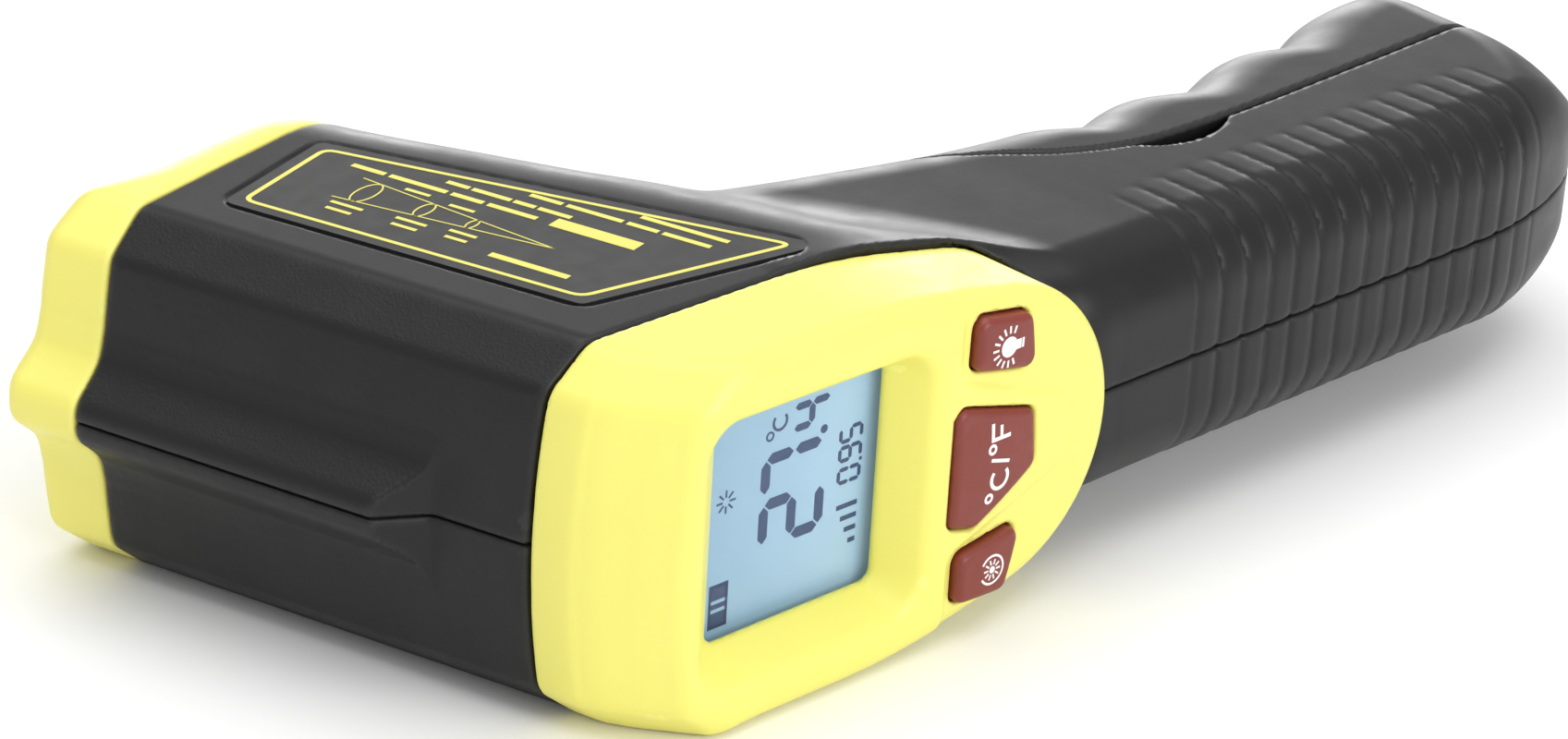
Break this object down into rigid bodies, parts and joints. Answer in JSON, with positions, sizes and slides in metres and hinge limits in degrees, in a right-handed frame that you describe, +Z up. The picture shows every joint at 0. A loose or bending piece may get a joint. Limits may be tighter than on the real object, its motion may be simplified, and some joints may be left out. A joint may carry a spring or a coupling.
{
  "type": "infrared thermometer",
  "caption": "Pistol-grip infrared thermometer lying on its side, with a backlit display, three keys, a trigger, a laser pointer and a hinged battery door.",
  "frame": {"origin": "centre of the outline seen from above, on the surface that the instrument lies on", "axes": "+X down the grip, from the head's top face to the foot of the grip; +Y forward along the line of sight; +Z up, towards the housing's right side"},
  "size_m": [0.1584, 0.1029, 0.038],
  "materials": {
    "black_plastic": "fine matte grain, satin on the grip",
    "yellow_plastic": "satin",
    "maroon_silicone": "satin silicone rubber",
    "clear_window": "clear polished plastic",
    "lcd_glass": "pale blue display glass",
    "light_guide": "white diffuser",
    "circuit_board": "green solder mask",
    "chip_resin": "black moulded resin",
    "elastomer": "soft conductive rubber",
    "steel": "bright steel",
    "brass": "turned brass",
    "infrared_lens": "dark grey translucent plastic",
    "label_film": "glossy printed film",
    "cell_wrap": "shrink sleeve",
    "lead_insulation": "wire insulation",
    "ribbon_film": "flat flexible cable"
  },
  "bodies": {
    "root": {"right_shell": "black_plastic", "left_shell": "black_plastic", "front_bezel": "yellow_plastic", "rear_bezel": "yellow_plastic", "door_hinge_pin": "steel", "lens_barrel": "black_plastic", "ir_lens": "infrared_lens", "thermopile_sensor": "steel", "sensor_board": "circuit_board", "laser_module": "brass", "laser_window": "clear_window", "lcd_window": "clear_window", "lcd_panel": "lcd_glass", "backlight": "light_guide", "contact_strip": "elastomer", "main_board": "circuit_board", "processor": "chip_resin", "buzzer": "chip_resin", "dome_switches": "steel", "trigger_spring": "steel", "trigger_switch": "chip_resin", "battery_holder": "black_plastic", "battery_right": "cell_wrap", "battery_left": "cell_wrap", "battery_springs": "steel", "battery_contacts": "steel", "battery_leads": "lead_insulation", "sensor_ribbon": "ribbon_film", "housing_screws": "steel", "board_screws": "steel", "label_right": "label_film", "label_left": "label_film"},
    "battery_door": {"battery_door": "black_plastic"},
    "backlight_key": {"backlight_button": "maroon_silicone"},
    "units_key": {"units_button": "maroon_silicone"},
    "laser_key": {"laser_button": "maroon_silicone"},
    "trigger": {"trigger": "black_plastic"}
  },
  "joints": [
    {"name": "trigger_pull", "type": "slide", "parent": "root", "child": "trigger", "axis": [-0.2689, -0.9632, 0], "range_m": [0, 0.003], "stiffness_N_per_m": 600, "springref_m": -0.001, "deforming": ["trigger_spring"]},
    {"name": "backlight_press", "type": "slide", "parent": "root", "child": "backlight_key", "axis": [0.279, 0.9603, 0], "range_m": [0, 0.0008], "stiffness_N_per_m": 1500, "springref_m": -0.0001},
    {"name": "units_press", "type": "slide", "parent": "root", "child": "units_key", "axis": [0.279, 0.9603, 0], "range_m": [0, 0.0008], "stiffness_N_per_m": 1500, "springref_m": -0.0001},
    {"name": "laser_press", "type": "slide", "parent": "root", "child": "laser_key", "axis": [0.279, 0.9603, 0], "range_m": [0, 0.0008], "stiffness_N_per_m": 1500, "springref_m": -0.0001},
    {"name": "battery_door_hinge", "type": "hinge", "parent": "root", "child": "battery_door", "pos_m": [0.07134, -0.03016, 0.019], "axis": [0, 0, -1], "range_deg": [0, 65]}
  ]
}
